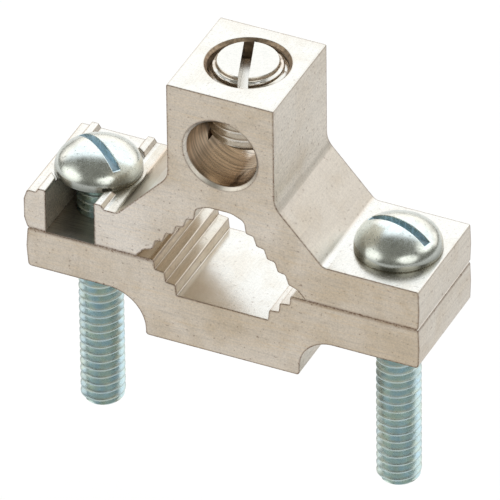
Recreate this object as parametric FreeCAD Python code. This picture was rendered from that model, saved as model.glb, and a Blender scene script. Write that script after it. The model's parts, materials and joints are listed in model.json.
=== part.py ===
"""Earthing pipe clamp: two toothed aluminium jaws, two clamp screws and the conductor's set screw.

Millimetres.  The origin is the middle of the split between the closed jaws, +X runs along
the bars towards the plain hole, +Y runs along the pipe and the conductor to the back, and
+Z points up out of the block.  Screw threads are drawn as plain cylinders.
"""
import FreeCAD, Part
import math
import os

V = FreeCAD.Vector

# Both jaws are cut from extruded bar, so their depth along the pipe is the same.
depth = 17.1

# Clamp screws, 1/4-20 UNC by 1-1/2 in, slotted round head.
screw_d = 6.2
screw_length = 38.1
screw_point = 0.5
screw_spacing = 44.45
head_d = 12.1
head_h = 4.2
head_rim = 0.35
head_shoulder_r = 2.6
head_slot_w = 1.15
head_slot_depth = 1.7
left_slot_turn = -34.5
right_slot_turn = -13.5

# Clearances: radial play of threads drawn plain, and of the screws in the upper jaw.
thread_play = 0.05
hole_play = 0.45
slot_play = 0.525
seat_play = 0.55

# Toothed roof of the pipe opening, measured from its own middle line and from the split.
roof_x = -0.2
roof_teeth = 5
roof_mouth = 12.6
mouth_chamfer = (1.2, 1.35)
mouth_land = 1.32
first_crest_z = 1.85
roof_pitch = (1.56, 1.65)
roof_root = (-0.48, 1.48)
roof_round = 0.32
roof_rise = 2.7
roof_side = 0.26
roof_corner_r = 1.0
roof_flat_r = 3.0

# Upper jaw: arms beyond the screws, shoulders over the roof, and the conductor block.
arm_t = 6.2
end_length = 6.72
end_bulge = 0.5
end_round = 0.45
shoulder_wall = (2.9, 2.4)
shoulder_top = (14.4, 14.15)
shoulder_fillet = 3.2
foot_fillet = 1.3
block_wall = 2.3
block_edge = 0.2

# Conductor bore over the roof, and the set screw that meets it from the block's top.
conductor_d = 10.3
conductor_chamfer = 0.45
roof_web = 3.92
top_web = 4.3
set_d = 11.0
set_length = 11.9
set_proud = 0.55
set_chamfer = 1.3
set_axis = (0.05, 0.45)
set_tap_depth = 0.6
set_rim = 0.42
set_slot_w = 1.4
set_slot_offset = 0.25
set_slot_depth = 3.2
set_slot_turn = -70.9

# Open slot in the left arm, its end behind the screw, and the ridge along each side of it.
slot_shift = 0.355
slot_end_y = 0.9
ridge_h = 0.65
ridge_w = 1.75
ridge_reach = 1.45
ridge_side = 0.42
ridge_round = 0.22

# Lower jaw: bar, toothed valley and the boss under it.
bar_t = 6.35
bar_corner = 0.5
split_edge = 0.42
valley_teeth = 3
valley_half_w = 6.8
valley_pitch = (1.6, 1.64)
tooth_lean = (0.15, 0.18)
crest_round = 0.22
root_round = 0.12
boss_wall = (4.65, 4.58)
boss_floor = 7.83
boss_edge = 0.45
boss_fillet = (5.6, 5.0)

# Places that follow from the sizes above.
hole_x = screw_spacing / 2
half_length = hole_x + end_length
clear_hole_d = screw_d + 2 * hole_play
slot_w = screw_d + 2 * slot_play
slot_x = -hole_x - slot_shift
seat_d = head_d + 2 * seat_play
last_crest_z = first_crest_z + roof_pitch[1] * (roof_teeth - 1)
roof_top = last_crest_z + roof_rise
conductor_z = roof_top + roof_web + conductor_d / 2
block_top = conductor_z + conductor_d / 2 + top_web
block_half_w = set_d / 2 + thread_play + block_wall
shoulder_foot = (roof_mouth + shoulder_wall[0], roof_mouth + shoulder_wall[1])
set_top = block_top + set_proud
valley_depth = valley_pitch[1] * valley_teeth
boss_half_w = (valley_half_w + boss_wall[0], valley_half_w + boss_wall[1])
boss_bottom = valley_depth + boss_floor


def outline(corners):
    """Closed wire in the XZ plane through (x, z, radius) corners, each rounded by its radius.

    Where two roundings would meet on one side, both are made smaller until they fit it.
    """
    n = len(corners)
    points = [V(x, 0, z) for x, z, r in corners]
    turns = []
    reaches = []
    for i in range(n):
        to_prev = points[i - 1] - points[i]
        to_next = points[(i + 1) % n] - points[i]
        turn = to_prev.getAngle(to_next)
        straight = math.pi - turn < 0.02
        turns.append(turn)
        reaches.append(0.0 if straight else corners[i][2] / math.tan(turn / 2))
    fits = [1.0] * n
    for i in range(n):
        j = (i + 1) % n
        side = (points[j] - points[i]).Length
        both = reaches[i] + reaches[j]
        if both > 0.98 * side:
            fits[i] = min(fits[i], 0.98 * side / both)
            fits[j] = min(fits[j], 0.98 * side / both)
    ends = []
    for i in range(n):
        p = points[i]
        reach = reaches[i] * fits[i]
        if reach <= 0:
            ends.append((p, None, p))
            continue
        to_prev = points[i - 1] - p
        to_next = points[(i + 1) % n] - p
        to_prev.normalize()
        to_next.normalize()
        middle = to_prev + to_next
        middle.normalize()
        r = reach * math.tan(turns[i] / 2)
        nearest = r / math.sin(turns[i] / 2) - r
        ends.append((p + to_prev * reach, p + middle * nearest, p + to_next * reach))
    edges = []
    for i in range(n):
        a, mid, b = ends[i]
        if mid is not None:
            edges.append(Part.Arc(a, mid, b).toShape())
        c = ends[(i + 1) % n][0]
        if (c - b).Length > 1e-6:
            edges.append(Part.LineSegment(b, c).toShape())
    return Part.Wire(edges)


def extrude(corners):
    """Solid of one profile, running the full depth and centred on the XZ plane."""
    face = Part.Face(outline(corners))
    solid = face.extrude(V(0, depth, 0))
    solid.translate(V(0, -depth / 2, 0))
    return solid


def post(x, y, z0, z1, d):
    """Upright cylinder from z0 to z1."""
    return Part.makeCylinder(d / 2, z1 - z0, V(x, y, z0), V(0, 0, 1))


def turned(points, crown=None):
    """Solid turned about Z from (radius, height) points, the first and last on the axis.

    With a crown height, the last point is joined to the axis by a shoulder curve that starts
    upright and runs without a break into one large arc, which ends level at the crown.
    """
    line = [V(r, 0, z) for r, z in points]
    edges = [Part.LineSegment(line[i], line[i + 1]).toShape() for i in range(len(line) - 1)]
    if crown is not None:
        rim = line[-1]
        rise = crown - rim.z
        small = head_shoulder_r
        large = (rim.x ** 2 + rise ** 2 - 2 * rim.x * small) / (2 * (rise - small))
        centre = V(0, 0, crown - large)
        lean = (V(rim.x - small, 0, rim.z) - centre).normalize()
        meet = centre + lean * large
        shoulder = Part.BSplineCurve()
        shoulder.interpolate(
            [rim, meet], InitialTangent=V(0, 0, 1), FinalTangent=V(-lean.z, 0, lean.x))
        edges.append(shoulder.toShape())
        bisector = (lean + V(0, 0, 1)).normalize()
        top = V(0, 0, crown)
        edges.append(Part.Arc(meet, centre + bisector * large, top).toShape())
        line.append(top)
    edges.append(Part.LineSegment(line[-1], line[0]).toShape())
    face = Part.Face(Part.Wire(edges))
    return face.revolve(V(0, 0, 0), V(0, 0, 1), 360)


def roof_corners():
    """Corners of the toothed roof from its right mouth over the top to its left mouth."""
    land_x = roof_mouth - mouth_chamfer[0]
    side = [(roof_mouth, 0.0, 0.0), (land_x, mouth_chamfer[1], 0.3)]
    for i in range(roof_teeth):
        crest_x = land_x - mouth_land - roof_pitch[0] * i
        crest_z = first_crest_z + roof_pitch[1] * i
        side.append((crest_x, crest_z, roof_round))
        if i < roof_teeth - 1:
            side.append((crest_x + roof_root[0], crest_z + roof_root[1], roof_round))
    top_x = crest_x - roof_side
    side.append((top_x, roof_top - 0.3 * roof_rise, roof_corner_r))
    side.append((0.48 * top_x, roof_top, roof_flat_r))
    right = [(roof_x + x, z, r) for x, z, r in side]
    left = [(roof_x - x, z, r) for x, z, r in reversed(side)]
    return right + left


def ridge(inner, outer):
    """Four corners of one low ridge on the arm's top, from its inner foot to its outer foot."""
    lean = ridge_side if outer > inner else -ridge_side
    top = arm_t + ridge_h
    return [
        (inner, arm_t, 0.0),
        (inner + lean, top, ridge_round),
        (outer - lean, top, ridge_round),
        (outer, arm_t, 0.1),
    ]


def upper_jaw():
    """Arms, shoulders and block in one extrusion, then the holes and the open slot."""
    ridge_out = slot_w / 2 + ridge_reach
    ridge_in = ridge_out - ridge_w
    corners = [(half_length, 0.0, split_edge)]
    corners += [(half_length + end_bulge / 4, arm_t / 2, 4.0), (half_length, arm_t, 0.25)]
    corners += [(shoulder_foot[1], arm_t, foot_fillet), (block_half_w, shoulder_top[1], shoulder_fillet)]
    corners += [(block_half_w, block_top, block_edge), (-block_half_w, block_top, block_edge)]
    corners += [(-block_half_w, shoulder_top[0], shoulder_fillet), (-shoulder_foot[0], arm_t, foot_fillet)]
    right_ridge = ridge(slot_x + ridge_in, slot_x + ridge_out)
    left_ridge = ridge(slot_x - ridge_in, slot_x - ridge_out)
    corners += list(reversed(right_ridge)) + left_ridge
    corners += [(-half_length, arm_t, end_round)]
    corners += [(-half_length - end_bulge, arm_t * 0.75, 1.5), (-half_length - end_bulge, arm_t * 0.25, 1.5)]
    corners += [(-half_length, 0.0, end_round)]
    corners += list(reversed(roof_corners()))
    body = extrude(corners)

    over = block_top + 1
    bore_r = conductor_d / 2
    lip = bore_r + conductor_chamfer
    body = body.cut(Part.makeCylinder(bore_r, depth + 2, V(0, -depth / 2 - 1, conductor_z), V(0, 1, 0)))
    for face_y, inward in ((-depth / 2, 1), (depth / 2, -1)):
        cone = Part.makeCone(
            lip, bore_r, conductor_chamfer, V(0, face_y, conductor_z), V(0, inward, 0))
        body = body.cut(cone)
    tap_x, tap_y = set_axis
    tap_floor = set_top - set_length - set_tap_depth
    body = body.cut(post(tap_x, tap_y, tap_floor, over, set_d + 2 * thread_play))
    tap_r = set_d / 2 + thread_play
    body = body.cut(Part.makeCone(
        tap_r, tap_r + set_rim, set_rim, V(tap_x, tap_y, block_top - set_rim), V(0, 0, 1)))
    body = body.cut(post(hole_x, 0, -1, arm_t + 1, clear_hole_d))
    slot = Part.makeBox(
        slot_w, depth / 2 + slot_end_y + 1, arm_t + 4, V(slot_x - slot_w / 2, -depth / 2 - 1, -1))
    body = body.cut(slot.fuse(post(slot_x, slot_end_y, -1, arm_t + 3, slot_w)))
    body = body.cut(post(-hole_x, 0, arm_t, arm_t + ridge_h + 1, seat_d))
    return body.removeSplitter()


def valley_corners():
    """Corners of the toothed valley from its right mouth down to the right end of its floor."""
    side = []
    for i in range(valley_teeth, 0, -1):
        x = valley_half_w + valley_pitch[0] * (i - 1)
        z = -valley_depth + valley_pitch[1] * (i - 1)
        side.append((x + tooth_lean[0], z + valley_pitch[1], crest_round))
        floor_z = z if i == 1 else z + tooth_lean[1]
        side.append((x, floor_z, root_round))
    return side


def lower_jaw():
    """Bar with the toothed valley on top and the boss below, and its two screw holes."""
    right = valley_corners()
    left = [(-x, z, r) for x, z, r in reversed(right)]
    corners = [(half_length, 0.0, split_edge)] + right + left
    corners += [(-half_length, 0.0, split_edge), (-half_length - end_bulge / 2, -bar_t / 2, 4.0)]
    corners += [(-half_length, -bar_t, bar_corner)]
    corners += [(-boss_half_w[0], -bar_t, boss_fillet[0]), (-boss_half_w[0], -boss_bottom, boss_edge)]
    corners += [(boss_half_w[1], -boss_bottom, boss_edge), (boss_half_w[1], -bar_t, boss_fillet[1])]
    corners += [(half_length, -bar_t, bar_corner), (half_length + end_bulge / 4, -bar_t / 2, 4.0)]
    body = extrude(corners)
    for side in (-1, 1):
        hole = post(side * hole_x, 0, -bar_t - 1, 1, screw_d + 2 * thread_play)
        body = body.cut(hole)
    return body.removeSplitter()


def clamp_screw(x, slot_turn):
    """Round-headed machine screw hanging from the arm's top, head slot turned about Z."""
    r = head_d / 2
    tip = arm_t - screw_length
    screw = turned(
        [
            (0, tip),
            (screw_d / 2 - screw_point, tip),
            (screw_d / 2, tip + screw_point),
            (screw_d / 2, arm_t),
            (r - 0.15, arm_t),
            (r, arm_t + 0.15),
            (r, arm_t + head_rim),
        ],
        crown=arm_t + head_h,
    )
    screw.translate(V(x, 0, 0))
    floor = arm_t + head_h - head_slot_depth
    slot = Part.makeBox(
        head_d + 2, head_slot_w, head_h, V(x - head_d / 2 - 1, -head_slot_w / 2, floor))
    slot.rotate(V(x, 0, 0), V(0, 0, 1), slot_turn)
    return screw.cut(slot)


def set_screw():
    """Headless slotted screw, its point standing down into the conductor bore."""
    r = set_d / 2
    bottom = set_top - set_length
    c = set_chamfer
    screw = turned([
        (0, bottom), (r - c, bottom), (r, bottom + c), (r, set_top - c), (r - c, set_top), (0, set_top)])
    corner = V(-r - 1, -set_slot_w / 2 - set_slot_offset, set_top - set_slot_depth)
    slot = Part.makeBox(set_d + 2, set_slot_w, set_slot_depth + 1, corner)
    slot.rotate(V(0, 0, 0), V(0, 0, 1), set_slot_turn)
    screw = screw.cut(slot)
    screw.translate(V(set_axis[0], set_axis[1], 0))
    return screw


os.makedirs("parts", exist_ok=True)
pieces = {
    "upper_jaw": upper_jaw(),
    "lower_jaw": lower_jaw(),
    "left_clamp_screw": clamp_screw(-hole_x, left_slot_turn),
    "right_clamp_screw": clamp_screw(hole_x, right_slot_turn),
    "set_screw": set_screw(),
}
for name, shape in pieces.items():
    solid = shape.Solids[0] if len(shape.Solids) == 1 else shape
    if not solid.isValid() or len(shape.Solids) != 1:
        raise ValueError("%s is not one sound solid" % name)
    solid.exportStep("parts/%s.step" % name)
    box = solid.BoundBox
    extents = (box.XLength, box.YLength, box.ZLength)
    print(name, "extents %.2f %.2f %.2f" % extents, "volume %.0f" % solid.Volume)
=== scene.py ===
"""Looks of an earthing pipe clamp: tin-plated jaws, zinc-plated clamp screws and a set screw.

Run as a script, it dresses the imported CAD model.  Lengths are millimetres in the settings
and metres in the scene.
"""
import json
import math

import bmesh
import bpy
import numpy as np
from bpy.props import FloatProperty, PointerProperty, StringProperty
from mathutils import Matrix, Vector

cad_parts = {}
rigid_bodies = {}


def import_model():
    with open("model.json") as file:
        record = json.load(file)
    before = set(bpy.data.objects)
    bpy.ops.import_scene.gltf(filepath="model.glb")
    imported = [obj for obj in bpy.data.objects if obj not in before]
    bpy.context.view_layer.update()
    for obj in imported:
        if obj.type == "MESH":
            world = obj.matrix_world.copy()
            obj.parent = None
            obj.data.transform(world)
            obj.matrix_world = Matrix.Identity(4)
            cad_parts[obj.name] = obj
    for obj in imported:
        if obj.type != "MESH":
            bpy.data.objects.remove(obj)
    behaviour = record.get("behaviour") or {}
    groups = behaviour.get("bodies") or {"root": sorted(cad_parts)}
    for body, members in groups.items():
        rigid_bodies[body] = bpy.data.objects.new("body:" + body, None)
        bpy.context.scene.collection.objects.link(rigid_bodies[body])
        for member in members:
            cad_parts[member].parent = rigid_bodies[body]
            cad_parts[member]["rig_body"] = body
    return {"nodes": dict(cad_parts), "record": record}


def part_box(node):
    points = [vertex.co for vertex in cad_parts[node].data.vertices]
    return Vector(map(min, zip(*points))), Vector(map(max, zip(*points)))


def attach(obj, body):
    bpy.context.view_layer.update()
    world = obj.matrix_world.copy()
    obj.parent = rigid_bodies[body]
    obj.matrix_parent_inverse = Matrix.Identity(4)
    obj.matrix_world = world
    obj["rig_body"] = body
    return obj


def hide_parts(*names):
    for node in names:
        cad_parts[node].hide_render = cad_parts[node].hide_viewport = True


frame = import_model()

bl_info = {
    "name": "Earthing Pipe Clamp",
    "version": (1, 0, 0),
    "blender": (4, 5, 0),
    "location": "3D View > Sidebar > Clamp",
    "description": "Dresses the clamp's jaws and builds its threaded screws and the studio round it",
    "category": "Object",
}

MM = 0.001

# Places on the jaws in mm, where their finish differs or shade is painted on them
BORE = (0.0, 20.22, 5.15)  # x, z and radius of the conductor bore
ARM_SLOT = ((-26.3, -9.0, -0.3), (-18.8, 2.0, 6.1))
TAPPED_HOLE = ((-6.0, -5.6, 16.0), (6.1, 6.5, 29.66))
LEFT_TEETH = ((-17.0, -9.0, -4.9), (-4.0, 9.0, 11.0))
PIPE_CENTRE = (1.0, 0.0, 1.0)

# Heights on the clamp screws in mm: the heads lie above the first, and their ring of painted
# shade at the foot is full at the second and gone at the third
HEAD_FROM = 6.0
RIM_SHADE_FULL = 6.6
RIM_SHADE_GONE = 8.1

# Thread form: phases in turns from where a crest begins, and the share of the depth there
FORM_PHASES = (0, 0.125, 0.479, 0.646, 1.0)
FORM_DEPTHS = (0, 0, 1, 1, 0)
# Rows of the helix in one turn, closest where the form bends
TURN_ROWS = (0, .06, .125, .16, .22, .30, .38, .44, .48, .54, .60, .65, .69, .76, .84, .92, .97)

# Turned top of the set screw, a short neck over a shoulder, in mm: how far down from the flat
# face, and how much wider than the face.  Below it the chamfer ends, and the thread starts.
NECK_DOWN = (0, 0.06, 0.56, 0.64, 0.74, 0.86)
NECK_OVER = (-0.06, 0, 0.1, 0.2, 0.52, 0.57)
CHAMFER_OVER = 0.65  # how much wider the chamfer's end is than the face, in radius
THREAD_START = 0.15  # how far below the chamfer's end the thread has its full radius

SHARP_EDGE = 40  # degrees between two faces, above which their edge stays sharp
MERGE_DISTANCE = 0.0005  # mm between points that are one
INTO_HEAD = 0.3  # mm that a thread's rod stands inside its head
FLOOR_GAP = 0.02  # mm between the floor and the lower jaw's lowest reach


# Settings that a user would change

class ClampScrewSettings(bpy.types.PropertyGroup):
    """Sizes of the two clamp screws, 1/4-20 by 1-1/2 in with slotted round heads."""

    length: FloatProperty(name="Length", description="Length under the head, mm", default=38.1)
    crest: FloatProperty(name="Crest", description="Diameter over the thread, mm", default=6.2)
    pitch: FloatProperty(name="Pitch", description="Thread pitch, mm", default=1.27)
    depth: FloatProperty(name="Depth", description="Thread depth, mm", default=0.72)
    point: FloatProperty(name="Point", description="Chamfer of the point, mm", default=0.5)
    rim: FloatProperty(name="Rim", description="Upright rim under the crown, mm", default=0.35)
    shoulder: FloatProperty(name="Shoulder", description="Radius of the crown's shoulder, mm", default=2.6)
    slot_width: FloatProperty(name="Slot width", description="Width of the slot, mm", default=1.15)
    slot_depth: FloatProperty(name="Slot depth", description="Depth under the crown, mm", default=1.7)
    slot_edge: FloatProperty(name="Slot edge", description="Rounding of the slot's edges, mm", default=0.1)
    left_turn: FloatProperty(
        name="Left slot", description="Turn of the left slot from X",
        default=math.radians(-34.5), subtype="ANGLE")
    right_turn: FloatProperty(
        name="Right slot", description="Turn of the right slot from X",
        default=math.radians(-13.5), subtype="ANGLE")


class SetScrewSettings(bpy.types.PropertyGroup):
    """Sizes of the slotted set screw, 7/16-20, that stands in the top of the block."""

    pitch: FloatProperty(name="Pitch", description="Thread pitch, mm", default=1.27)
    depth: FloatProperty(name="Depth", description="Thread depth, mm", default=0.72)
    chamfer: FloatProperty(name="Chamfer", description="Height of both ends' chamfers, mm", default=1.3)
    face: FloatProperty(name="Face", description="Diameter of the flat top face, mm", default=8.5)
    slot_width: FloatProperty(name="Slot width", description="Width of the slot, mm", default=1.4)
    slot_depth: FloatProperty(name="Slot depth", description="Depth of the slot, mm", default=3.2)
    slot_offset: FloatProperty(name="Slot offset", description="Slot's place off centre, mm", default=0.25)
    slot_turn: FloatProperty(
        name="Slot turn", description="Turn of the slot from X",
        default=math.radians(-70.9), subtype="ANGLE")


class FinishSettings(bpy.types.PropertyGroup):
    """Colours of the platings, as sRGB hex values, and the sizes of their patterns."""

    tin: StringProperty(
        name="Tin", description="Tin plate on drawn faces, sRGB hex", default="E8E1D6")
    tin_cut: StringProperty(
        name="Cut tin", description="Tin plate on cut faces, sRGB hex", default="F4ECE2")
    # This colour also paints the dark edge lines, which are painted shade.
    tarnish_and_edge_shade: StringProperty(
        name="Tarnish", description="Tarnish in pits and on edges, sRGB hex", default="745742")
    # This colour also paints shade: on the cut faces by place, on upright faces and on the left teeth.
    stain_and_shade: StringProperty(
        name="Stain", description="Warm stains on the tin plate, sRGB hex", default="D6C6AF")
    bore_tin: StringProperty(
        name="Bore tin", description="Thin plate in the bore, sRGB hex", default="D1C1AE")
    # The dark plate in the tapped hole is painted shade.
    tapped_shade_tin: StringProperty(
        name="Tapped tin", description="Plate in the tapped hole, sRGB hex", default="A08C76")
    zinc: StringProperty(
        name="Zinc", description="Zinc plate on the heads, sRGB hex", default="E8ECE5")
    zinc_thread: StringProperty(
        name="Thread zinc", description="Bluish film on the threads, sRGB hex", default="BBD0D6")
    zinc_green: StringProperty(
        name="Green zinc", description="Greenish film on the threads, sRGB hex", default="C5D2C8")
    zinc_slot: StringProperty(
        name="Slot zinc", description="Blue zinc in the slots, sRGB hex", default="DDEEF6")
    # The dark ends of the head slots are painted shade.
    slot_end_shade: StringProperty(
        name="Slot ends", description="Grimy ends of the slots, sRGB hex", default="657B80")
    # This colour also paints shade in a ring at the foot of each head.
    grime_and_shade: StringProperty(
        name="Grime", description="Grime on the heads and in the arm's slot, sRGB hex",
        default="4C5048")
    pit_gap: FloatProperty(
        name="Pit gap", description="Distance between pits, mm", default=0.5)
    edge_radius: FloatProperty(
        name="Edge radius", description="Rounding of the edges, mm", default=0.18)
    # The dark edge lines are painted shade.
    edge_width: FloatProperty(
        name="Edge width", description="Width of the dark edge lines, mm", default=0.44)


class StudioSettings(bpy.types.PropertyGroup):
    """Camera, light and floor."""

    azimuth: FloatProperty(
        name="Azimuth", description="Camera's turn about Z from looking along Y",
        default=math.radians(25.159), subtype="ANGLE")
    elevation: FloatProperty(
        name="Elevation", description="Camera's angle above the horizon",
        default=math.radians(36.048), subtype="ANGLE")
    roll: FloatProperty(
        name="Roll", description="Camera's turn about its own axis",
        default=math.radians(-0.656), subtype="ANGLE")
    distance: FloatProperty(name="Distance", description="Camera's distance, mm", default=1677.3)
    focal: FloatProperty(name="Focal length", description="Lens on a 36 mm sensor, mm", default=894.8)
    aim_right: FloatProperty(name="Aim right", description="Camera's shift to the right, mm", default=0.209)
    aim_up: FloatProperty(name="Aim up", description="Camera's shift upwards, mm", default=-0.786)
    floor_size: FloatProperty(name="Floor", description="Side of the floor, mm", default=3000.0)


# Small tools

def linear(hex_colour):
    """Linear RGBA of an sRGB hex value."""
    srgb = [int(hex_colour[i:i + 2], 16) / 255 for i in (0, 2, 4)]
    light = [c / 12.92 if c <= 0.04045 else ((c + 0.055) / 1.055) ** 2.4 for c in srgb]
    return (*light, 1.0)


def add(tree, kind, links=None, **settings):
    """Adds one node with its settings and inputs, and returns it.

    In links a key is an input's name or number, and a value is a number, a vector, a colour
    or the output socket of another node.
    """
    node = tree.nodes.new(kind)
    for key, value in settings.items():
        setattr(node, key, value)
    for key, value in (links or {}).items():
        socket = node.inputs[key]
        if isinstance(value, bpy.types.NodeSocket):
            tree.links.new(value, socket)
        else:
            socket.default_value = value
    return node


def new_material(name):
    """Material with an empty tree, its node tree and its Principled shader."""
    material = bpy.data.materials.new(name)
    material.use_nodes = True
    tree = material.node_tree
    tree.nodes.clear()
    shader = add(tree, "ShaderNodeBsdfPrincipled")
    add(tree, "ShaderNodeOutputMaterial", {"Surface": shader.outputs[0]})
    return material, tree, shader


def grid_quads(rows, columns):
    """Corner numbers of the quads between the points of a grid stored row by row."""
    row, column = np.meshgrid(np.arange(rows - 1), np.arange(columns - 1), indexing="ij")
    first = (row * columns + column).ravel()
    return np.stack([first, first + 1, first + columns + 1, first + columns], axis=1)


def mesh_object(name, surfaces):
    """Object of grid surfaces, each (rows, columns, 3) points in metres and how blue it is.

    Where grids meet or fold to a point their doubles are merged, and all faces point outwards.
    """
    points = np.concatenate([surface.reshape(-1, 3) for surface, blue in surfaces])
    blues = np.concatenate([
        np.broadcast_to(blue, surface.shape[:2]).ravel() for surface, blue in surfaces])
    quads, start = [], 0
    for surface, blue in surfaces:
        rows, columns = surface.shape[:2]
        quads.append(grid_quads(rows, columns) + start)
        start += rows * columns
    mesh = bpy.data.meshes.new(name)
    mesh.from_pydata(points.tolist(), [], np.concatenate(quads).tolist())
    mesh.attributes.new("blue", "FLOAT", "POINT").data.foreach_set("value", blues)
    shell = bmesh.new()
    shell.from_mesh(mesh)
    bmesh.ops.remove_doubles(shell, verts=shell.verts, dist=MERGE_DISTANCE * MM)
    bmesh.ops.recalc_face_normals(shell, faces=shell.faces)
    shell.to_mesh(mesh)
    shell.free()
    mesh.shade_smooth()
    mesh.set_sharp_from_angle(angle=math.radians(SHARP_EDGE))
    return bpy.data.objects.new(name, mesh)


def put_in_place(piece, node, material):
    """Shows a new piece in place of a CAD node, on the same body and with the given material."""
    bpy.context.scene.collection.objects.link(piece)
    piece.data.materials.clear()
    piece.data.materials.append(material)
    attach(piece, frame["nodes"][node]["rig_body"])
    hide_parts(node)


# Threads, heads and points

def threaded_rod(centre, radius, depth, pitch, z0, z1, ends, columns=96):
    """Closed threaded rod as one grid, all lengths in mm.

    The grid's rows follow the helix: row s and angle a lie at height pitch * (s + a / turn),
    held between z0 and z1.  The radius is the crest's less the thread's depth, as the
    thread form gives it for the height in pitches less the angle in turns, with its bends
    eased.  It is also held inside each end's own turned profile, given as distances from
    that end and the radii there.
    """
    turns = int(math.ceil((z1 - z0) / pitch)) + 1
    s = (np.arange(turns)[:, None] + np.array(TURN_ROWS)).ravel()
    s = np.append(s, turns)[:, None]
    angle = np.linspace(0, 2 * math.pi, columns + 1)[None, :]
    z = np.clip(z0 + pitch * (s - 1 + angle / (2 * math.pi)), z0, z1)
    phase = np.mod((z - z0) / pitch - angle / (2 * math.pi), 1.0)
    flank = np.interp(phase, FORM_PHASES, FORM_DEPTHS)
    eased = 0.6 * flank + 0.4 * flank * flank * (3 - 2 * flank)
    thread = radius - depth * eased
    for away, (distances, radii) in ((z - z0, ends[0]), (z1 - z, ends[1])):
        thread = np.minimum(thread, np.interp(away, distances, radii))
    surface = np.stack([
        centre[0] + thread * np.cos(angle), centre[1] + thread * np.sin(angle), z], axis=2)
    caps = []
    for height in (z0, z1):
        axis = np.array([centre[0], centre[1], height])
        caps.append(np.broadcast_to(axis, (1, columns + 1, 3)))
    return np.concatenate([caps[0], surface, caps[1]]) * MM


def round_head(centre, radius, seat, rim, top, shoulder, floor, half_slot, edge, turn):
    """Slotted round head as closed-up grids, all lengths in mm: crown, slot and skirt.

    The crown is a basket arch turned about the axis.  At the distance d from the axis it is
    the large arc, top - large + sqrt(large ^ 2 - d ^ 2), or beyond the arcs' meeting the
    shoulder's arc, rim + sqrt(shoulder ^ 2 - (d - radius + shoulder) ^ 2).  It is held down to
    the floor between the slot's walls.  Rows of one y end on the rim, and two rows share the y
    of each wall, so the walls stand upright under a small rounding.  The slot's rows are blue
    where they lie on its floor, and towards its ends their value rises for painted shade.
    """
    floor_rows = 9  # rows across the slot's floor
    foot = 0.15  # mm of chamfer round the seat
    rise = top - rim
    large = (radius ** 2 + rise ** 2 - 2 * radius * shoulder) / (2 * (rise - shoulder))
    meeting = (radius - shoulder) * large / (large - shoulder)
    waist = math.sqrt(large ** 2 - (floor - top + large) ** 2) / radius
    outer = radius * np.sin(np.radians(np.linspace(0, 90, 40)))
    outer = outer[outer > half_slot + edge * 1.3]
    bend = half_slot + edge * np.array([0, .08, .3, .6, 1.0])
    above = np.concatenate([bend, outer])
    inside = np.linspace(-half_slot, half_slot, floor_rows)
    y = np.concatenate([-above[::-1], inside, above])
    cut = np.concatenate([np.zeros(len(above)), np.ones(floor_rows), np.zeros(len(above))])
    limit = np.sqrt(np.clip(radius ** 2 - y ** 2, 0, None))
    mouth = math.asin(waist)
    t = np.concatenate([
        np.linspace(-math.pi / 2, -mouth, 12)[:-1],
        np.linspace(-mouth, mouth, 45)[:-1],
        np.linspace(mouth, math.pi / 2, 12)])
    x = limit[:, None] * np.sin(t)[None, :]
    y, cut = np.broadcast_to(y[:, None], x.shape), np.broadcast_to(cut[:, None], x.shape)
    d = np.minimum(np.hypot(x, y), radius)
    arc = top - large + np.sqrt(large ** 2 - d ** 2)
    fall = np.maximum(d - radius + shoulder, 0)
    crown = np.where(d < meeting, arc, rim + np.sqrt(np.clip(shoulder ** 2 - fall ** 2, 0, None)))
    away = np.clip(np.abs(y) - half_slot, 0, edge)
    drop = edge - np.sqrt(np.clip(edge ** 2 - (edge - away) ** 2, 0, None))
    drop = np.minimum(drop, np.clip(crown - floor, 0, None))
    z = np.where(cut > 0, np.minimum(crown, floor), crown - drop)
    top_grid = np.stack([x, y, z], axis=2)
    loop = np.concatenate([top_grid[:, -1], top_grid[::-1, 0], top_grid[:1, -1]])
    rings = []
    for share, height in ((1, rim), (1, seat + foot), (1 - foot / radius, seat), (.4, seat), (0, seat)):
        ring = loop * share
        ring[:, 2] = height
        rings.append(ring)
    slot_rows = slice(len(above) - 1, len(above) + floor_rows + 1)
    # Towards the slot's ends the value rises above 1 for painted shade.
    out = (np.hypot(x, y)[slot_rows] / (waist * radius)).clip(0, 1)
    sunk = (crown[slot_rows] > floor + 0.02) * (1 + 0.5 * out ** 4)
    grids = [
        (top_grid[:len(above)], 0.0), (top_grid[slot_rows], sunk),
        (top_grid[len(above) + floor_rows:], 0.0), (np.stack(rings), 0.0)]
    c, s = math.cos(turn), math.sin(turn)
    spin = np.array([[c, s, 0], [-s, c, 0], [0, 0, 1]])
    return [((grid @ spin + np.array([centre[0], centre[1], 0])) * MM, blue) for grid, blue in grids]


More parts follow.
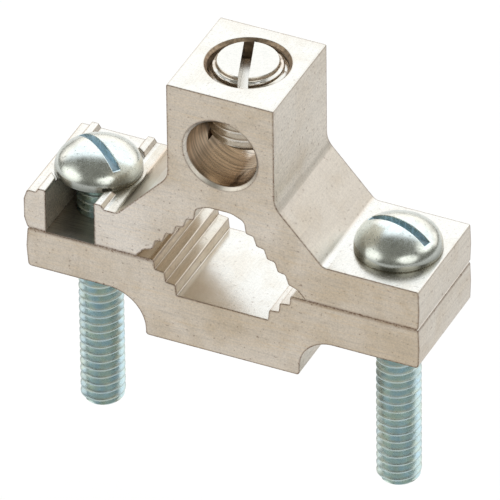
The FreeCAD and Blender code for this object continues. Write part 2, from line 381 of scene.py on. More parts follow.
def cut_slot(piece, centre, turn, half_width, offset, floor, reach):
    """Cuts a straight slot down to floor through the top of a closed piece, in mm, and applies it.

    The cutter is a box, twice reach long and high and twice half_width wide, turned about the
    centre and moved sideways by offset.
    """
    box = bmesh.new()
    bmesh.ops.create_cube(box, size=2.0)
    bmesh.ops.scale(box, vec=(reach * MM, half_width * MM, reach * MM), verts=box.verts)
    bmesh.ops.translate(box, vec=(0, -offset * MM, (floor + reach) * MM), verts=box.verts)
    place = Matrix.Translation((centre[0] * MM, centre[1] * MM, 0)) @ Matrix.Rotation(turn, 4, "Z")
    bmesh.ops.transform(box, matrix=place, verts=box.verts)
    mesh = bpy.data.meshes.new("slot_cutter")
    box.to_mesh(mesh)
    box.free()
    cutter = bpy.data.objects.new("slot_cutter", mesh)
    scene = bpy.context.scene.collection
    scene.objects.link(cutter)
    scene.objects.link(piece)
    boolean = piece.modifiers.new("slot", "BOOLEAN")
    boolean.operation = "DIFFERENCE"
    boolean.solver = "EXACT"
    boolean.object = cutter
    bpy.context.view_layer.update()
    cut = bpy.data.meshes.new_from_object(piece.evaluated_get(bpy.context.evaluated_depsgraph_get()))
    piece.modifiers.remove(boolean)
    piece.data = cut
    scene.objects.unlink(piece)
    bpy.data.objects.remove(cutter)
    bpy.data.meshes.remove(mesh)


# Materials

def inside_box(tree, place, low, high):
    """1 inside a box between two corners in mm, 0 outside it."""
    middle = [(a + b) / 2 * MM for a, b in zip(low, high)]
    half = [(b - a) / 2 * MM for a, b in zip(low, high)]
    offset = add(tree, "ShaderNodeVectorMath", {0: place, 1: middle}, operation="SUBTRACT")
    away = add(tree, "ShaderNodeVectorMath", {0: offset.outputs[0]}, operation="ABSOLUTE")
    share = add(tree, "ShaderNodeVectorMath", {0: away.outputs[0], 1: half}, operation="DIVIDE")
    parts = add(tree, "ShaderNodeSeparateXYZ", {0: share.outputs[0]})
    widest = add(tree, "ShaderNodeMath", {0: parts.outputs[0], 1: parts.outputs[1]}, operation="MAXIMUM")
    widest = add(tree, "ShaderNodeMath", {0: widest.outputs[0], 1: parts.outputs[2]}, operation="MAXIMUM")
    return add(tree, "ShaderNodeMath", {0: widest.outputs[0], 1: 1.0}, operation="LESS_THAN").outputs[0]


def tin_plated_aluminium(finish):
    """Matte tin plate on extruded aluminium.

    Tin is a warm white metal with a satin glare.  Drawing leaves fine lines along Y, sawing
    leaves duller cut faces with short lines along X, and the plate darkens in pits and along
    the split, and painted shade darkens the edges, less so on level faces, where it is rubbed
    clean.  Warm stains lie in blotches and saw lines, and painted shade turns the cut faces in
    places, the upright faces and the teeth at the left warmer and darker.  Inside the bore the
    plate is thin and brown over the drill's rings, in the tapped hole it is painted dark as
    shade, and the arm's slot is dull and dirty.
    """
    material, tree, shader = new_material("tin_plated_aluminium")
    where = add(tree, "ShaderNodeTexCoord")
    place = where.outputs["Object"]
    facing = add(tree, "ShaderNodeSeparateXYZ", {0: where.outputs["Normal"]})
    sideways = add(tree, "ShaderNodeMath", {0: facing.outputs["Y"]}, operation="ABSOLUTE")
    is_cut = add(tree, "ShaderNodeMapRange", {
        "Value": sideways.outputs[0], "From Min": 0.75, "From Max": 0.95})

    # Draw lines, 0.3 mm apart and 15 mm long, and saw lines, 0.3 mm apart and 6 mm long.  The
    # real ones are finer, and these are coarse enough to show.
    along_y = add(tree, "ShaderNodeMapping", {"Vector": place, "Scale": (1 / 0.3, 1 / 15, 1 / 0.3)})
    draw_lines = add(tree, "ShaderNodeTexNoise", {
        "Vector": along_y.outputs[0], "Scale": 1 / MM, "Detail": 3.0, "Roughness": 0.65})
    along_x = add(tree, "ShaderNodeMapping", {"Vector": place, "Scale": (1 / 6, 1, 1 / 0.3)})
    saw_lines = add(tree, "ShaderNodeTexNoise", {
        "Vector": along_x.outputs[0], "Scale": 1 / MM, "Detail": 3.0, "Roughness": 0.7})
    lines = add(tree, "ShaderNodeMix", {
        0: is_cut.outputs[0], 2: draw_lines.outputs[0], 3: saw_lines.outputs[0]})

    blotch = add(tree, "ShaderNodeTexNoise", {
        "Vector": place, "Scale": 1 / (6 * MM), "Detail": 4.0, "Roughness": 0.6, "Distortion": 0.4})
    grain = add(tree, "ShaderNodeTexNoise", {
        "Vector": place, "Scale": 1 / (0.25 * MM), "Detail": 2.0, "Roughness": 0.6})
    pit_noise = add(tree, "ShaderNodeTexNoise", {
        "Vector": place, "Scale": 1 / (finish.pit_gap * MM), "Detail": 3.0, "Roughness": 0.55})
    pits = add(tree, "ShaderNodeMapRange", {
        "Value": pit_noise.outputs[0], "From Min": 0.62, "From Max": 0.70})

    rounded = add(tree, "ShaderNodeBevel", {"Radius": finish.edge_radius * MM}, samples=8)
    # The wide rounding marks the edges, where dark lines are painted as shade.
    wide = add(tree, "ShaderNodeBevel", {"Radius": finish.edge_width * MM}, samples=8)
    geometry = add(tree, "ShaderNodeNewGeometry")
    agree = add(tree, "ShaderNodeVectorMath", {
        0: wide.outputs[0], 1: geometry.outputs["Normal"]}, operation="DOT_PRODUCT")
    edge = add(tree, "ShaderNodeMapRange", {
        "Value": agree.outputs["Value"], "From Min": 0.999, "From Max": 0.94})
    worn = add(tree, "ShaderNodeMapRange", {
        "Value": grain.outputs[0], "From Min": 0.35, "From Max": 0.6, "To Min": 0.3, "To Max": 0.9})

    # Dirt gathers in a line along the split, on upright faces.
    parts = add(tree, "ShaderNodeSeparateXYZ", {0: place})
    beside = add(tree, "ShaderNodeMath", {0: parts.outputs["Z"], 1: 0.1 * MM}, operation="ADD")
    off_split = add(tree, "ShaderNodeMath", {0: beside.outputs[0]}, operation="ABSOLUTE")
    near_split = add(tree, "ShaderNodeMapRange", {
        "Value": off_split.outputs[0], "From Min": 0.1 * MM, "From Max": 0.5 * MM,
        "To Min": 0.75, "To Max": 0.0})
    dirt = add(tree, "ShaderNodeMath", {
        0: near_split.outputs[0], 1: worn.outputs[0]}, operation="MULTIPLY")
    upward = add(tree, "ShaderNodeMath", {0: facing.outputs["Z"]}, operation="ABSOLUTE")
    upright = add(tree, "ShaderNodeMapRange", {
        "Value": upward.outputs[0], "From Min": 0.9, "From Max": 0.6})
    standing = add(tree, "ShaderNodeMapRange", {
        "Value": upward.outputs[0], "From Min": 0.8, "From Max": 0.4})
    side_dirt = add(tree, "ShaderNodeMath", {
        0: dirt.outputs[0], 1: upright.outputs[0]}, operation="MULTIPLY")
    # Painted shade: cut faces turn warmer and darker to the right, at the top and on the lower jaw. They
    # also turn warmer round the pipe.
    to_right = add(tree, "ShaderNodeMapRange", {
        "Value": parts.outputs["X"], "From Min": 5 * MM, "From Max": 16 * MM, "To Max": 0.62})
    to_top = add(tree, "ShaderNodeMapRange", {
        "Value": parts.outputs["Z"], "From Min": 9 * MM, "From Max": 14 * MM, "To Max": 0.5})
    below = add(tree, "ShaderNodeMath", {0: parts.outputs["Z"], 1: 0.0}, operation="LESS_THAN")
    lower = add(tree, "ShaderNodeMath", {0: below.outputs[0], 1: 0.4}, operation="MULTIPLY")
    warmth = add(tree, "ShaderNodeMath", {
        0: to_right.outputs[0], 1: lower.outputs[0]}, operation="MAXIMUM")
    warmth = add(tree, "ShaderNodeMath", {
        0: warmth.outputs[0], 1: to_top.outputs[0]}, operation="MAXIMUM")
    flat_place = add(tree, "ShaderNodeVectorMath", {0: place, 1: (1, 0, 1)}, operation="MULTIPLY")
    from_pipe = add(tree, "ShaderNodeVectorMath", {
        0: flat_place.outputs[0], 1: [part * MM for part in PIPE_CENTRE]}, operation="DISTANCE")
    near_pipe = add(tree, "ShaderNodeMapRange", {
        "Value": from_pipe.outputs["Value"], "From Min": 8 * MM, "From Max": 13.5 * MM,
        "To Min": 0.34, "To Max": 0.0})
    warmth = add(tree, "ShaderNodeMath", {
        0: warmth.outputs[0], 1: near_pipe.outputs[0]}, operation="ADD")

    # The plate's own colour, its stains and painted shade, lines and specks, and on top the dark pits, the
    # dirt along the split and the painted shade on edges.
    plate = add(tree, "ShaderNodeMix", {
        0: is_cut.outputs[0], 6: linear(finish.tin), 7: linear(finish.tin_cut)}, data_type="RGBA")
    blotched = add(tree, "ShaderNodeMapRange", {
        "Value": blotch.outputs[0], "From Min": 0.45, "From Max": 0.65, "To Max": 0.3})
    streaks = add(tree, "ShaderNodeMapRange", {
        "Value": saw_lines.outputs[0], "From Min": 0.5, "From Max": 0.7, "To Max": 0.4})
    cut_stain_and_shade = add(tree, "ShaderNodeMath", {
        0: warmth.outputs[0], 1: streaks.outputs[0]}, operation="ADD")
    # Painted shade: upright drawn faces turn a little warmer and darker, and the teeth at the left, inside
    # the pipe opening, much more.
    teeth_shade = inside_box(tree, place, *LEFT_TEETH)
    drawn_shade = add(tree, "ShaderNodeMath", {
        0: standing.outputs[0], 1: 0.08}, operation="MULTIPLY")
    drawn_shade = add(tree, "ShaderNodeMath", {
        0: teeth_shade, 1: 0.4, 2: drawn_shade.outputs[0]}, operation="MULTIPLY_ADD")
    faces_stain_and_shade = add(tree, "ShaderNodeMix", {
        0: is_cut.outputs[0], 2: drawn_shade.outputs[0], 3: cut_stain_and_shade.outputs[0]})
    stain_and_shade = add(tree, "ShaderNodeMath", {
        0: faces_stain_and_shade.outputs[0], 1: blotched.outputs[0]}, operation="ADD", use_clamp=True)
    stained_and_shaded = add(tree, "ShaderNodeMix", {
        0: stain_and_shade.outputs[0], 6: plate.outputs[2], 7: linear(finish.stain_and_shade)}, data_type="RGBA")
    darkest_line = add(tree, "ShaderNodeMapRange", {
        "Value": is_cut.outputs[0], "To Min": 0.93, "To Max": 0.85})
    darkest_speck = add(tree, "ShaderNodeMapRange", {
        "Value": is_cut.outputs[0], "To Min": 0.82, "To Max": 0.88})
    shade = add(tree, "ShaderNodeMapRange", {
        "Value": lines.outputs[0], "From Min": 0.3, "From Max": 0.7,
        "To Min": darkest_line.outputs[0], "To Max": 1.07})
    speckle = add(tree, "ShaderNodeMapRange", {
        "Value": grain.outputs[0], "From Min": 0.3, "From Max": 0.7,
        "To Min": darkest_speck.outputs[0], "To Max": 1.1})
    both = add(tree, "ShaderNodeMath", {
        0: shade.outputs[0], 1: speckle.outputs[0]}, operation="MULTIPLY")
    rubbed = add(tree, "ShaderNodeMapRange", {"Value": standing.outputs[0], "To Min": 0.4})
    pattern = add(tree, "ShaderNodeMix", {0: rubbed.outputs[0], 2: 0.96, 3: both.outputs[0]})
    lined = add(tree, "ShaderNodeVectorMath", {
        0: stained_and_shaded.outputs[2], "Scale": pattern.outputs[0]}, operation="SCALE")
    # Painted shade: dark lines along the edges, patchy and fainter on level faces.
    line = add(tree, "ShaderNodeMath", {0: edge.outputs[0], 1: worn.outputs[0]}, operation="MULTIPLY")
    line = add(tree, "ShaderNodeMath", {0: line.outputs[0], 1: rubbed.outputs[0]}, operation="MULTIPLY")
    dark = add(tree, "ShaderNodeMath", {0: line.outputs[0], 1: side_dirt.outputs[0]}, operation="MAXIMUM")
    filled = add(tree, "ShaderNodeMath", {0: rubbed.outputs[0], 1: 0.55}, operation="MULTIPLY")
    pitted = add(tree, "ShaderNodeMath", {
        0: pits.outputs[0], 1: filled.outputs[0], 2: dark.outputs[0]},
        operation="MULTIPLY_ADD", use_clamp=True)
    colour = add(tree, "ShaderNodeMix", {
        0: pitted.outputs[0], 6: lined.outputs[0], 7: linear(finish.tarnish_and_edge_shade)}, data_type="RGBA")

    # The bore: how far a point is from its axis, and rings 0.35 mm apart along it.
    offset = add(tree, "ShaderNodeVectorMath", {
        0: place, 1: (-BORE[0] * MM, 0, -BORE[1] * MM)}, operation="ADD")
    flat = add(tree, "ShaderNodeVectorMath", {0: offset.outputs[0], 1: (1, 0, 1)}, operation="MULTIPLY")
    reach = add(tree, "ShaderNodeVectorMath", {0: flat.outputs[0]}, operation="LENGTH")
    in_bore = add(tree, "ShaderNodeMath", {
        0: reach.outputs["Value"], 1: (BORE[2] + 0.02) * MM}, operation="LESS_THAN")
    across_y = add(tree, "ShaderNodeMapping", {"Vector": place, "Scale": (1 / 8, 1 / 0.35, 1 / 8)})
    rings = add(tree, "ShaderNodeTexNoise", {
        "Vector": across_y.outputs[0], "Scale": 1 / MM, "Detail": 3.0, "Roughness": 0.6})
    ring_shade = add(tree, "ShaderNodeMapRange", {
        "Value": rings.outputs[0], "From Min": 0.36, "From Max": 0.64, "To Min": 0.58, "To Max": 1.2})
    bore_colour = add(tree, "ShaderNodeVectorMath", {
        0: linear(finish.bore_tin)[:3], "Scale": ring_shade.outputs[0]}, operation="SCALE")
    # The tapped hole, painted dark as shade, and patchy.
    tapped = inside_box(tree, place, *TAPPED_HOLE)
    tapped_shade = add(tree, "ShaderNodeMapRange", {
        "Value": pit_noise.outputs[0], "From Min": 0.3, "From Max": 0.7, "To Min": 0.6, "To Max": 1.25})
    tapped_shade_colour = add(tree, "ShaderNodeVectorMath", {
        0: linear(finish.tapped_shade_tin)[:3], "Scale": tapped_shade.outputs[0]}, operation="SCALE")
    with_hole = add(tree, "ShaderNodeMix", {
        0: tapped, 6: colour.outputs[2], 7: tapped_shade_colour.outputs[0]}, data_type="RGBA")
    # Dirt in the arm's slot, in the cutter's lines 0.2 mm apart.
    milled = inside_box(tree, place, *ARM_SLOT)
    cutter_space = add(tree, "ShaderNodeMapping", {"Vector": place, "Scale": (1 / 5, 1 / 0.2, 1 / 0.3)})
    cutter_lines = add(tree, "ShaderNodeTexNoise", {
        "Vector": cutter_space.outputs[0], "Scale": 1 / MM, "Detail": 2.0, "Roughness": 0.6})
    muck = add(tree, "ShaderNodeMapRange", {
        "Value": cutter_lines.outputs[0], "From Min": 0.38, "From Max": 0.62,
        "To Min": 0.3, "To Max": 0.0})
    slot_dirt = add(tree, "ShaderNodeMath", {0: muck.outputs[0], 1: milled}, operation="MULTIPLY")
    with_slot = add(tree, "ShaderNodeMix", {
        0: slot_dirt.outputs[0], 6: with_hole.outputs[2], 7: linear(finish.grime_and_shade)}, data_type="RGBA")
    final = add(tree, "ShaderNodeMix", {
        0: in_bore.outputs[0], 6: with_slot.outputs[2], 7: bore_colour.outputs[0]}, data_type="RGBA")

    # Relief of the lines, rings, pits and grain on softly rounded edges.
    deep_rings = add(tree, "ShaderNodeMath", {0: rings.outputs[0], 1: 2.5}, operation="MULTIPLY")
    relief = add(tree, "ShaderNodeMix", {
        0: in_bore.outputs[0], 2: lines.outputs[0], 3: deep_rings.outputs[0]})
    dug = add(tree, "ShaderNodeMath", {
        0: pits.outputs[0], 1: -1.5, 2: relief.outputs[0]}, operation="MULTIPLY_ADD")
    grained = add(tree, "ShaderNodeMath", {
        0: grain.outputs[0], 1: 0.5, 2: dug.outputs[0]}, operation="MULTIPLY_ADD")
    bump = add(tree, "ShaderNodeBump", {
        "Strength": 0.35, "Distance": 0.012 * MM, "Height": grained.outputs[0],
        "Normal": rounded.outputs[0]})

    # Cut and upright faces and the milled slot are duller, and the drilled bore is shinier.
    dull = add(tree, "ShaderNodeMapRange", {
        "Value": is_cut.outputs[0], "To Min": 0.20, "To Max": 0.25})
    satin = add(tree, "ShaderNodeMath", {
        0: blotch.outputs[0], 1: 0.08, 2: dull.outputs[0]}, operation="MULTIPLY_ADD")
    duller = add(tree, "ShaderNodeMath", {
        0: upright.outputs[0], 1: 0.2, 2: satin.outputs[0]}, operation="MULTIPLY_ADD")
    drilled = add(tree, "ShaderNodeMath", {
        0: in_bore.outputs[0], 1: -0.1, 2: duller.outputs[0]}, operation="MULTIPLY_ADD")
    roughness = add(tree, "ShaderNodeMath", {
        0: milled, 1: 0.2, 2: drilled.outputs[0]}, operation="MULTIPLY_ADD")

    tree.links.new(final.outputs[2], shader.inputs["Base Color"])
    tree.links.new(roughness.outputs[0], shader.inputs["Roughness"])
    tree.links.new(bump.outputs[0], shader.inputs["Normal"])
    shader.inputs["Metallic"].default_value = 1.0
    return material


def tin_plated_screw(finish):
    """Tin plate on a turned aluminium set screw, brighter and cleaner than the jaws."""
    material, tree, shader = new_material("tin_plated_set_screw")
    where = add(tree, "ShaderNodeTexCoord")
    grain = add(tree, "ShaderNodeTexNoise", {
        "Vector": where.outputs["Object"], "Scale": 1 / (0.4 * MM), "Detail": 3.0})
    shade = add(tree, "ShaderNodeMapRange", {
        "Value": grain.outputs[0], "From Min": 0.3, "From Max": 0.7, "To Min": 0.88, "To Max": 0.97})
    colour = add(tree, "ShaderNodeVectorMath", {
        0: linear(finish.tin)[:3], "Scale": shade.outputs[0]}, operation="SCALE")
    roughness = add(tree, "ShaderNodeMapRange", {
        "Value": grain.outputs[0], "To Min": 0.18, "To Max": 0.32})
    rounded = add(tree, "ShaderNodeBevel", {"Radius": 0.08 * MM}, samples=6)
    bump = add(tree, "ShaderNodeBump", {
        "Strength": 0.2, "Distance": 0.01 * MM, "Height": grain.outputs[0], "Normal": rounded.outputs[0]})
    tree.links.new(colour.outputs[0], shader.inputs["Base Color"])
    tree.links.new(roughness.outputs[0], shader.inputs["Roughness"])
    tree.links.new(bump.outputs[0], shader.inputs["Normal"])
    shader.inputs["Metallic"].default_value = 1.0
    return material


def zinc_plated_steel(finish):
    """Bright zinc plate, blue passivated, on rolled steel.

    The heads, with a blue value of 0, are worn to plain silver with faint scuffs, specks and
    clouds, and painted shade darkens a ring at their foot.  The threads, with 0.5, keep a thin
    film that shifts from green to blue.  The slots, with 1, are blue, and painted shade darkens
    them towards their ends, where the value is 1.5.
    """
    material, tree, shader = new_material("zinc_plated_steel")
    where = add(tree, "ShaderNodeTexCoord")
    place = where.outputs["Object"]
    blue = add(tree, "ShaderNodeAttribute", attribute_name="blue")
    cloud = add(tree, "ShaderNodeTexNoise", {
        "Vector": place, "Scale": 1 / (2.5 * MM), "Detail": 4.0, "Roughness": 0.6})
    scuff = add(tree, "ShaderNodeTexNoise", {
        "Vector": place, "Scale": 1 / (0.35 * MM), "Detail": 3.0, "Roughness": 0.65})
    first_half = add(tree, "ShaderNodeMapRange", {"Value": blue.outputs["Fac"], "From Max": 0.5})
    second_half = add(tree, "ShaderNodeMapRange", {"Value": blue.outputs["Fac"], "From Min": 0.5})
    film = add(tree, "ShaderNodeTexNoise", {
        "Vector": place, "Scale": 1 / (1.6 * MM), "Detail": 4.0, "Roughness": 0.6})
    hue = add(tree, "ShaderNodeMapRange", {
        "Value": film.outputs[0], "From Min": 0.35, "From Max": 0.65})
    thread = add(tree, "ShaderNodeMix", {
        0: hue.outputs[0], 6: linear(finish.zinc_green), 7: linear(finish.zinc_thread)}, data_type="RGBA")
    tint = add(tree, "ShaderNodeMix", {
        0: first_half.outputs[0], 6: linear(finish.zinc), 7: thread.outputs[2]}, data_type="RGBA")
    tint = add(tree, "ShaderNodeMix", {
        0: second_half.outputs[0], 6: tint.outputs[2], 7: linear(finish.zinc_slot)}, data_type="RGBA")
    shade = add(tree, "ShaderNodeMapRange", {
        "Value": cloud.outputs[0], "From Min": 0.3, "From Max": 0.7, "To Min": 0.9, "To Max": 1.04})
    # Painted shade: the slots darken towards their ends.
    to_ends = add(tree, "ShaderNodeMapRange", {
        "Value": blue.outputs["Fac"], "From Min": 1.0, "From Max": 1.5})
    tint = add(tree, "ShaderNodeMix", {
        0: to_ends.outputs[0], 6: tint.outputs[2], 7: linear(finish.slot_end_shade)}, data_type="RGBA")
    clean = add(tree, "ShaderNodeVectorMath", {
        0: tint.outputs[2], "Scale": shade.outputs[0]}, operation="SCALE")

    # Painted shade in a ring at the foot of the head, and dirty specks and thin clouds all over the head.
    height = add(tree, "ShaderNodeSeparateXYZ", {0: place})
    foot = add(tree, "ShaderNodeMapRange", {
        "Value": height.outputs["Z"], "From Min": RIM_SHADE_GONE * MM, "From Max": RIM_SHADE_FULL * MM,
        "To Max": 0.75})
    above = add(tree, "ShaderNodeMath", {
        0: height.outputs["Z"], 1: HEAD_FROM * MM}, operation="GREATER_THAN")
    ring = add(tree, "ShaderNodeMath", {0: foot.outputs[0], 1: above.outputs[0]}, operation="MULTIPLY")
    on_head = add(tree, "ShaderNodeMath", {0: 1.0, 1: first_half.outputs[0]}, operation="SUBTRACT")
    speck = add(tree, "ShaderNodeMapRange", {
        "Value": scuff.outputs[0], "From Min": 0.62, "From Max": 0.7, "To Max": 0.6})
    specks = add(tree, "ShaderNodeMath", {0: speck.outputs[0], 1: on_head.outputs[0]}, operation="MULTIPLY")
    film_gone = add(tree, "ShaderNodeMapRange", {
        "Value": film.outputs[0], "From Min": 0.5, "From Max": 0.7, "To Max": 0.2})
    clouded = add(tree, "ShaderNodeMath", {
        0: film_gone.outputs[0], 1: on_head.outputs[0]}, operation="MULTIPLY")
    marks = add(tree, "ShaderNodeMath", {0: specks.outputs[0], 1: clouded.outputs[0]}, operation="MAXIMUM")
    grime_and_shade = add(tree, "ShaderNodeMath", {0: ring.outputs[0], 1: marks.outputs[0]}, operation="MAXIMUM")
    colour = add(tree, "ShaderNodeMix", {
        0: grime_and_shade.outputs[0], 6: clean.outputs[0], 7: linear(finish.grime_and_shade)}, data_type="RGBA")
    polish = add(tree, "ShaderNodeMapRange", {
        "Value": scuff.outputs[0], "From Min": 0.3, "From Max": 0.7, "To Min": 0.16, "To Max": 0.32})
    rolled = add(tree, "ShaderNodeMath", {
        0: first_half.outputs[0], 1: 0.07, 2: polish.outputs[0]}, operation="MULTIPLY_ADD")
    roughness = add(tree, "ShaderNodeMath", {
        0: second_half.outputs[0], 1: 0.35, 2: rolled.outputs[0]}, operation="MULTIPLY_ADD")
    scratched = add(tree, "ShaderNodeMapRange", {
        "Value": first_half.outputs[0], "To Min": 0.25, "To Max": 0.05})
    bump = add(tree, "ShaderNodeBump", {
        "Strength": scratched.outputs[0], "Distance": 0.015 * MM, "Height": scuff.outputs[0]})
    tree.links.new(colour.outputs[2], shader.inputs["Base Color"])
    tree.links.new(roughness.outputs[0], shader.inputs["Roughness"])
    tree.links.new(bump.outputs[0], shader.inputs["Normal"])
    shader.inputs["Metallic"].default_value = 1.0
    return material


def studio_floor_material():
    """Matte white paper that shows white, with a faint shadow of the clamp, and clear from below."""
    material, tree, shader = new_material("white_paper")
    output = next(n for n in tree.nodes if n.type == "OUTPUT_MATERIAL")
    shader.inputs["Base Color"].default_value = linear("F4F3F1")
    shader.inputs["Roughness"].default_value = 0.9
    shader.inputs["Specular IOR Level"].default_value = 0.0
    path = add(tree, "ShaderNodeLightPath")
    direct = add(tree, "ShaderNodeMath", {
        0: path.outputs["Is Camera Ray"], 1: path.outputs["Is Transmission Ray"]}, operation="MAXIMUM")
    seen = add(tree, "ShaderNodeMath", {
        0: direct.outputs[0], 1: path.outputs["Is Glossy Ray"]}, operation="MAXIMUM")
    share = add(tree, "ShaderNodeMath", {0: seen.outputs[0], 1: 0.85}, operation="MULTIPLY")
    glow = add(tree, "ShaderNodeMapRange", {
        "Value": direct.outputs[0], "To Min": 0.92, "To Max": 1.08})
    white = add(tree, "ShaderNodeEmission", {"Color": (1, 1, 1, 1), "Strength": glow.outputs[0]})
    lit = add(tree, "ShaderNodeMixShader", {
        0: share.outputs[0], 1: shader.outputs[0], 2: white.outputs[0]})
    geometry = add(tree, "ShaderNodeNewGeometry")
    clear = add(tree, "ShaderNodeBsdfTransparent")
    one_sided = add(tree, "ShaderNodeMixShader", {
        0: geometry.outputs["Backfacing"], 1: lit.outputs[0], 2: clear.outputs[0]})
    tree.links.new(one_sided.outputs[0], output.inputs["Surface"])
    return material


def studio_world():
    """Photo booth: a tall back wall, warm below and cool above, and three soft boxes.

    The wall starts a little above the floor, and only its middle reaches down to it.  The
    rest of the booth is dark grey, and seen straight by the camera all of it is white.
    """
    world = bpy.data.worlds.new("photo_booth")
    world.use_nodes = True
    tree = world.node_tree
    tree.nodes.clear()
    where = add(tree, "ShaderNodeTexCoord")
    ray = where.outputs["Generated"]

    def patch(direction, low, high):
        """Soft patch of the world that faces a direction: 0 at the low cosine, 1 at the high."""
        facing = add(tree, "ShaderNodeVectorMath", {0: ray, 1: direction}, operation="DOT_PRODUCT")
        soft = add(tree, "ShaderNodeMapRange", {
            "Value": facing.outputs["Value"], "From Min": low, "From Max": high},
            interpolation_type="SMOOTHSTEP")
        return soft.outputs[0]

    wall = patch((-0.24, 0.93, 0.27), 0.42, 0.60)
    above_floor = patch((0.0, 0.0, 1.0), 0.0, 0.1)
    middle = patch((-0.34, 0.94, 0.0), 0.88, 0.96)
    low_middle = add(tree, "ShaderNodeMath", {0: above_floor, 1: middle}, operation="MULTIPLY")
    high = patch((0.0, 0.0, 1.0), 0.06, 0.24)
    opening = add(tree, "ShaderNodeMath", {0: low_middle.outputs[0], 1: high}, operation="MAXIMUM")
    back = add(tree, "ShaderNodeMath", {0: wall, 1: opening.outputs[0]}, operation="MULTIPLY")
    upper_wall = patch((0.0, 0.0, 1.0), 0.25, 0.6)
    wall_light = add(tree, "ShaderNodeMix", {
        0: upper_wall, 6: (1.36, 1.28, 1.22, 1), 7: (1.33, 1.45, 1.57, 1)}, data_type="RGBA")
    left_box = patch((-0.77, -0.54, 0.34), 0.82, 0.93)
    right_box = patch((0.66, -0.57, 0.50), 0.89, 0.96)
    side_box = patch((0.65, 0.38, 0.66), 0.93, 0.98)
    boxes = add(tree, "ShaderNodeMath", {0: left_box, 1: right_box}, operation="MAXIMUM")
    boxes = add(tree, "ShaderNodeMath", {0: boxes.outputs[0], 1: side_box}, operation="MAXIMUM")
    front = add(tree, "ShaderNodeMix", {
        0: boxes.outputs[0], 6: (0.20, 0.20, 0.18, 1), 7: (1.4, 1.41, 1.36, 1)}, data_type="RGBA")
    tent = add(tree, "ShaderNodeMix", {
        0: back.outputs[0], 6: front.outputs[2], 7: wall_light.outputs[2]}, data_type="RGBA")
    path = add(tree, "ShaderNodeLightPath")
    colour = add(tree, "ShaderNodeMix", {
        0: path.outputs["Is Camera Ray"], 6: tent.outputs[2], 7: (1, 1, 1, 1)}, data_type="RGBA")
    light = add(tree, "ShaderNodeBackground", {"Color": colour.outputs[2], "Strength": 1.0})
    add(tree, "ShaderNodeOutputWorld", {"Surface": light.outputs[0]})
    return world


# Operators

class CLAMP_OT_dress_jaws(bpy.types.Operator):
    """Gives both jaws their tin plate"""

    bl_idname = "clamp.dress_jaws"
    bl_label = "Dress Jaws"

    def execute(self, context):
        material = tin_plated_aluminium(context.scene.clamp_finish)
        for name in ("upper_jaw", "lower_jaw"):
            jaw = frame["nodes"][name]
            jaw.data.materials.clear()
            jaw.data.materials.append(material)
        return {"FINISHED"}


class CLAMP_OT_make_clamp_screws(bpy.types.Operator):
    """Makes both clamp screws, with rolled threads and slotted round heads"""

    bl_idname = "clamp.make_clamp_screws"
    bl_label = "Make Clamp Screws"

    def execute(self, context):
        size = context.scene.clamp_screws
        material = zinc_plated_steel(context.scene.clamp_finish)
        for side, turn in (("left", size.left_turn), ("right", size.right_turn)):
            node = side + "_clamp_screw"
            low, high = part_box(node)
            centre = ((low.x + high.x) / 2 / MM, (low.y + high.y) / 2 / MM)
            tip = low.z / MM
            seat = tip + size.length
            head_radius = (high.x - low.x) / 2 / MM
            top = high.z / MM
            crest = size.crest / 2
            point = ((0, size.point), (crest - size.point, crest))
            rod = threaded_rod(
                centre, crest, size.depth, size.pitch, tip, seat + INTO_HEAD,
                (point, ((0, 1), (crest, crest))))
            head = round_head(
                centre, head_radius, seat, seat + size.rim, top, size.shoulder,
                top - size.slot_depth, size.slot_width / 2, size.slot_edge, turn)
            piece = mesh_object(side + "_clamp_screw_threaded", [(rod, 0.5)] + head)
            put_in_place(piece, node, material)
        return {"FINISHED"}


class CLAMP_OT_make_set_screw(bpy.types.Operator):
    """Makes the slotted set screw of the conductor bore"""

    bl_idname = "clamp.make_set_screw"
    bl_label = "Make Set Screw"

    def execute(self, context):
        size = context.scene.clamp_set_screw
        low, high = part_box("set_screw")
        centre = ((low.x + high.x) / 2 / MM, (low.y + high.y) / 2 / MM)
        radius = (high.x - low.x) / 2 / MM
        chamfer = ((0, size.chamfer), (radius - size.chamfer, radius))
        face = size.face / 2
        down = (*NECK_DOWN, size.chamfer, size.chamfer + THREAD_START)
        neck = (down, (*(face + over for over in NECK_OVER), face + CHAMFER_OVER, radius))
        rod = threaded_rod(
            centre, radius, size.depth, size.pitch, low.z / MM, high.z / MM, (chamfer, neck), columns=128)
        piece = mesh_object("set_screw_threaded", [(rod, 0.0)])
        cut_slot(
            piece, centre, size.slot_turn, size.slot_width / 2, size.slot_offset,
            high.z / MM - size.slot_depth, reach=radius + 2)
        piece.data.set_sharp_from_angle(angle=math.radians(SHARP_EDGE))
        put_in_place(piece, "set_screw", tin_plated_screw(context.scene.clamp_finish))
        return {"FINISHED"}


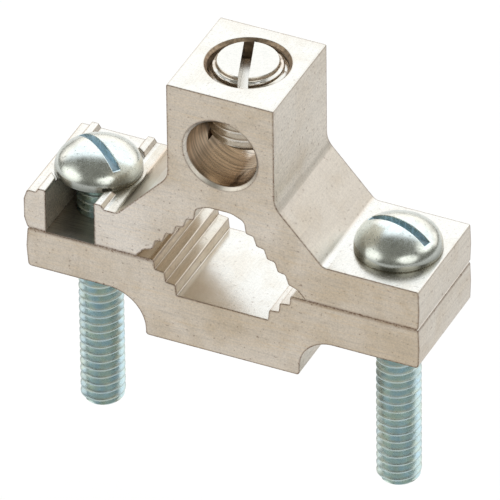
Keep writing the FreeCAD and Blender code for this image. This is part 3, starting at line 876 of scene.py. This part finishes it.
class CLAMP_OT_make_studio(bpy.types.Operator):
    """Makes the floor, the light and the camera"""

    bl_idname = "clamp.make_studio"
    bl_label = "Make Studio"

    def execute(self, context):
        scene = context.scene
        studio = scene.clamp_studio
        # The floor clears the lower jaw when the clamp is fully open.
        joints = frame["record"]["behaviour"]["joints"]
        travel = next(joint["range_m"][1] for joint in joints if joint["name"] == "jaw_travel")
        half = studio.floor_size / 2 * MM
        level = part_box("lower_jaw")[0].z - travel - FLOOR_GAP * MM
        mesh = bpy.data.meshes.new("floor")
        corners = [(-half, -half, level), (half, -half, level), (half, half, level), (-half, half, level)]
        mesh.from_pydata(corners, [], [(0, 1, 2, 3)])
        mesh.materials.append(studio_floor_material())
        floor = bpy.data.objects.new("floor", mesh)
        scene.collection.objects.link(floor)
        scene.world = studio_world()

        az, el, roll = studio.azimuth, studio.elevation, studio.roll
        ahead = Vector((-math.sin(az) * math.cos(el), math.cos(az) * math.cos(el), -math.sin(el)))
        level_right = Vector((math.cos(az), math.sin(az), 0))
        level_up = level_right.cross(ahead)
        right = level_right * math.cos(roll) + level_up * math.sin(roll)
        up = level_up * math.cos(roll) - level_right * math.sin(roll)
        camera = bpy.data.cameras.new("camera")
        camera.sensor_width = 36
        camera.lens = studio.focal
        camera.clip_start = 0.1
        camera.clip_end = 10
        eye = bpy.data.objects.new("camera", camera)
        place = (right * studio.aim_right + up * studio.aim_up - ahead * studio.distance) * MM
        eye.matrix_world = Matrix.Translation(place) @ Matrix((right, up, -ahead)).transposed().to_4x4()
        scene.collection.objects.link(eye)
        scene.camera = eye

        scene.view_settings.view_transform = "Standard"
        return {"FINISHED"}


class CLAMP_PT_panel(bpy.types.Panel):
    """Lists the clamp's settings and operators"""

    bl_idname = "CLAMP_PT_panel"
    bl_label = "Earthing Pipe Clamp"
    bl_space_type = "VIEW_3D"
    bl_region_type = "UI"
    bl_category = "Clamp"

    def draw(self, context):
        for name in SETTINGS:
            group = getattr(context.scene, name)
            box = self.layout.box()
            for key in group.__annotations__:
                box.prop(group, key)
        for operator in OPERATORS:
            self.layout.operator(operator.bl_idname)


SETTINGS = {
    "clamp_screws": ClampScrewSettings,
    "clamp_set_screw": SetScrewSettings,
    "clamp_finish": FinishSettings,
    "clamp_studio": StudioSettings,
}
OPERATORS = (
    CLAMP_OT_dress_jaws,
    CLAMP_OT_make_clamp_screws,
    CLAMP_OT_make_set_screw,
    CLAMP_OT_make_studio,
)


def register():
    """Registers the settings, the operators and the panel."""
    for name, group in SETTINGS.items():
        bpy.utils.register_class(group)
        setattr(bpy.types.Scene, name, PointerProperty(type=group))
    for cls in (*OPERATORS, CLAMP_PT_panel):
        bpy.utils.register_class(cls)


def unregister():
    """Takes them out again."""
    for cls in reversed((*OPERATORS, CLAMP_PT_panel)):
        bpy.utils.unregister_class(cls)
    for name, group in SETTINGS.items():
        delattr(bpy.types.Scene, name)
        bpy.utils.unregister_class(group)


def main():
    """Dresses the clamp."""
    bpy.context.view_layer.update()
    register()
    bpy.ops.clamp.dress_jaws()
    bpy.ops.clamp.make_clamp_screws()
    bpy.ops.clamp.make_set_screw()
    bpy.ops.clamp.make_studio()


if __name__ == "__main__":
    main()
